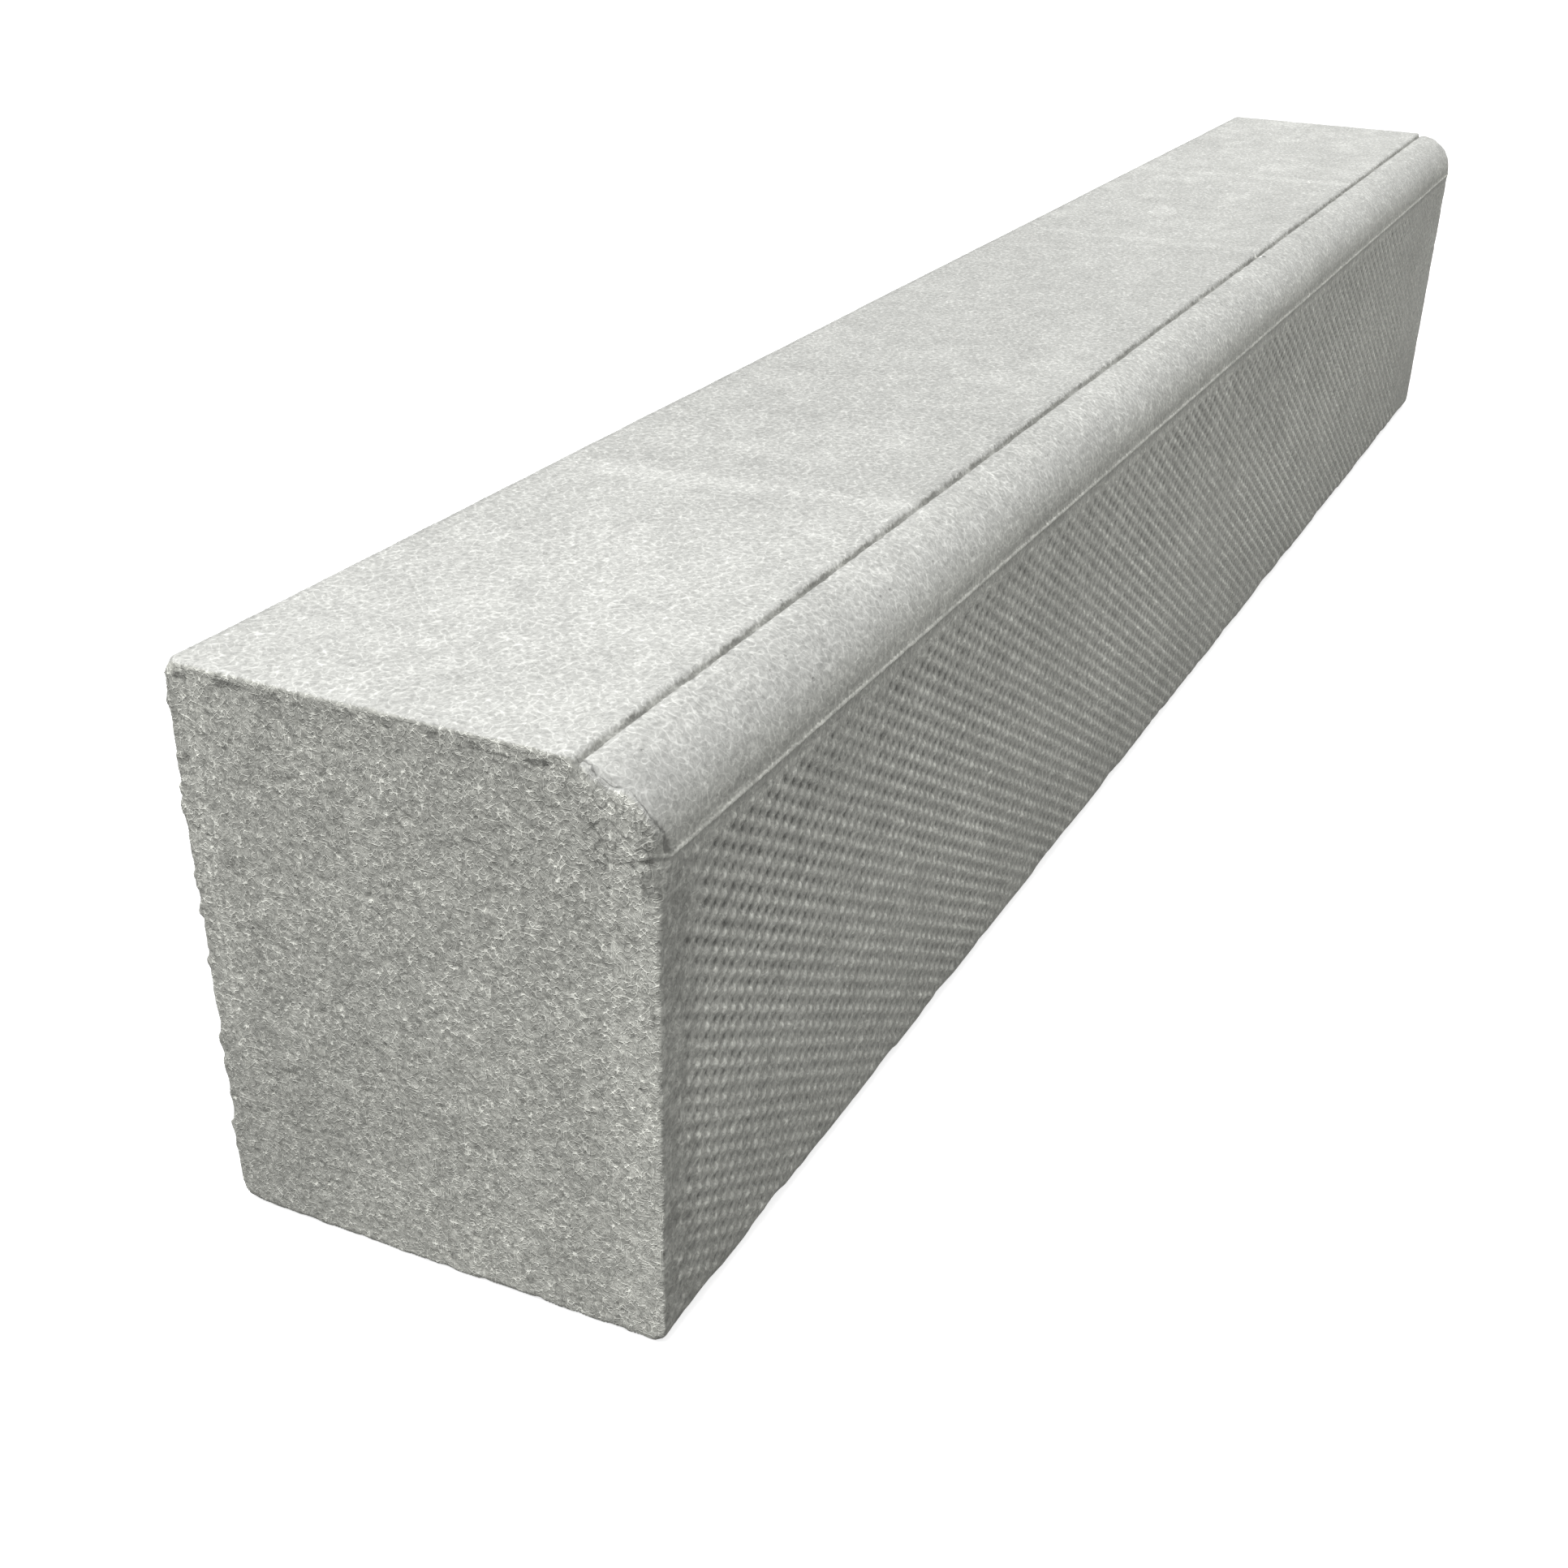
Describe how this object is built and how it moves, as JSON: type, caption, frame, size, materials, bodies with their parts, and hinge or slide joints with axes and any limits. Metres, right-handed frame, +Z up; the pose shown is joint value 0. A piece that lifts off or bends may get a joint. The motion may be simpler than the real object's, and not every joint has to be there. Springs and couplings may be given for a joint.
{
  "type": "bullnosed concrete kerb unit",
  "caption": "Straight pressed-concrete kerb unit with a level top, a bullnosed front arris and a road face covered in small raised dots, laid end to end along a road edge.",
  "frame": {"origin": "middle of the flat base, on the surface that the unit stands on", "axes": "+X along the length, -Y out of the road face, +Y out of the back face, +Z up"},
  "size_m": [0.915, 0.1254, 0.15],
  "materials": {
    "backing_concrete": "rough coarse-grained concrete with fine pits, matt",
    "facing_concrete": "fine-grained pressed concrete, smooth on the top and nose, dotted on the road face, matt"
  },
  "bodies": {
    "root": {"backing_concrete": "backing_concrete", "facing_layer": "facing_concrete"}
  },
  "joints": []
}
